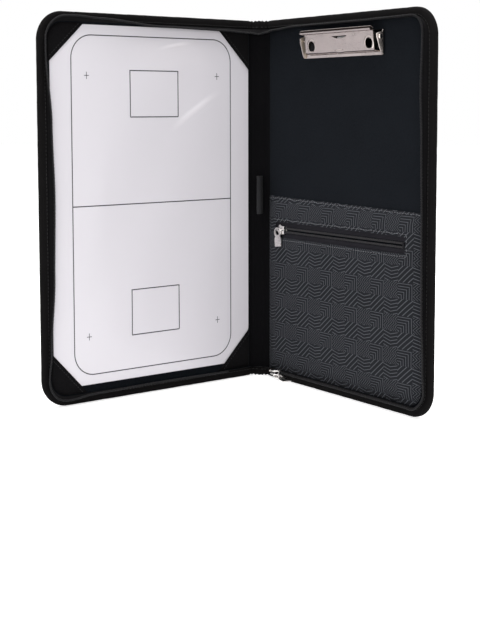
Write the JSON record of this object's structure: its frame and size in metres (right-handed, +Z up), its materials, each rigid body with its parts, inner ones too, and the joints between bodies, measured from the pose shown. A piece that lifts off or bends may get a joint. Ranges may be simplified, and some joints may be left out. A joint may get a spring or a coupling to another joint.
{
  "type": "zipped tactics folder",
  "caption": "Padded zip-round folder standing open like a book, with a court plan sheet in corner pockets, a sprung paper clip and a zipped pocket.",
  "frame": {"origin": "centre of the bounding box on the surface that the folder stands on", "axes": "+Z up along the spine, +Y from the opening towards the spine, +X from the front cover towards the back cover"},
  "size_m": [0.3512, 0.187, 0.357],
  "materials": {
    "woven_fabric": "black coarse plain-weave polyester",
    "lining_fabric": "blue-black fine plain-weave polyester",
    "grosgrain_binding": "black ribbed grosgrain tape",
    "foam": "grey polyurethane foam, hidden",
    "grey_board": "grey board, hidden",
    "zip_tape": "black knitted zip tape",
    "zip_coil": "black nylon coil",
    "woven_band": "black woven band, bare",
    "printed_pocket_fabric": "black polyester with a fine grey line pattern",
    "corner_pocket_fabric": "black plain-weave polyester",
    "white_sheet": "white glossy sheet with a printed court plan",
    "elastic": "black woven elastic",
    "nickel": "nickel plated",
    "spring_steel": "drawn spring wire"
  },
  "bodies": {
    "spine": {"spine_outer_fabric": "woven_fabric", "spine_foam": "foam", "spine_lining": "lining_fabric", "spine_binding_bottom": "grosgrain_binding", "spine_binding_top": "grosgrain_binding", "pen_loop": "elastic", "spine_zip_tape_bottom": "zip_tape", "spine_zip_tape_top": "zip_tape", "spine_zip_coil_bottom": "zip_coil", "spine_zip_coil_top": "zip_coil", "front_fold_fabric": "woven_fabric", "back_fold_fabric": "woven_fabric", "front_fold_lining": "lining_fabric", "back_fold_lining": "lining_fabric"},
    "front_cover": {"front_outer_fabric": "woven_fabric", "front_foam_pad": "foam", "front_board": "grey_board", "front_lining": "lining_fabric", "front_binding": "grosgrain_binding", "front_zip_tape": "zip_tape", "front_zip_coil": "zip_coil", "front_woven_band": "woven_band", "front_trim_strip": "woven_fabric", "tactics_sheet": "white_sheet", "corner_pocket_outer_bottom": "corner_pocket_fabric", "corner_pocket_outer_top": "corner_pocket_fabric", "corner_pocket_spine_bottom": "corner_pocket_fabric", "corner_pocket_spine_top": "corner_pocket_fabric"},
    "back_cover": {"back_outer_fabric": "woven_fabric", "back_foam_pad": "foam", "back_board": "grey_board", "back_lining": "lining_fabric", "back_binding": "grosgrain_binding", "back_zip_tape": "zip_tape", "back_zip_coil": "zip_coil", "main_zip_stop": "nickel", "pocket_panel": "printed_pocket_fabric", "pocket_zip_tape_lower": "zip_tape", "pocket_zip_tape_upper": "zip_tape", "pocket_zip_coil_lower": "zip_coil", "pocket_zip_coil_upper": "zip_coil", "pocket_zip_stop_left": "nickel", "pocket_zip_stop_right": "nickel", "clip_base_plate": "nickel", "clip_pivot_rod": "nickel", "clip_spring": "spring_steel", "clip_rivet_left": "nickel", "clip_rivet_right": "nickel"},
    "clip_lever": {"clip_lever": "nickel"},
    "pocket_slider": {"pocket_zip_slider": "nickel"},
    "pocket_pull": {"pocket_zip_pull": "nickel"},
    "main_slider": {"main_zip_slider": "nickel"},
    "main_pull": {"main_zip_pull": "nickel"}
  },
  "joints": [
    {"name": "front_cover_fold", "type": "hinge", "parent": "spine", "child": "front_cover", "pos_m": [-0.009, 0.08715, 0], "axis": [0, 0, 1], "range_deg": [-47.5, 42.5], "deforming": ["front_fold_fabric", "front_fold_lining"]},
    {"name": "back_cover_fold", "type": "hinge", "parent": "spine", "child": "back_cover", "pos_m": [0.009, 0.08715, 0], "axis": [0, 0, -1], "range_deg": [-47.5, 42.5], "deforming": ["back_fold_fabric", "back_fold_lining"]},
    {"name": "clip_lever_pivot", "type": "hinge", "parent": "back_cover", "child": "clip_lever", "pos_m": [0.08796, -0.00597, 0.3335], "axis": [-0.6756, 0.7373, 0], "range_deg": [0, 25], "stiffness_Nm_per_rad": 0.3, "springref_deg": -20.05, "deforming": ["clip_spring"]},
    {"name": "pocket_zip_slide", "type": "slide", "parent": "back_cover", "child": "pocket_slider", "axis": [0.6756, -0.7373, 0], "range_m": [0, 0.174]},
    {"name": "pocket_pull_swing", "type": "hinge", "parent": "pocket_slider", "child": "pocket_pull", "pos_m": [0.02058, 0.06548, 0.15075], "axis": [0.7373, 0.6756, 0], "range_deg": [-50, 230]},
    {"name": "main_zip_slide", "type": "slide", "parent": "back_cover", "child": "main_slider", "axis": [0.6756, -0.7373, 0], "range_m": [0, 0.185]},
    {"name": "main_pull_swing", "type": "hinge", "parent": "main_slider", "child": "main_pull", "pos_m": [0.0206, 0.06116, 0.0053], "axis": [0.7373, 0.6756, 0], "range_deg": [-8, 170]}
  ]
}
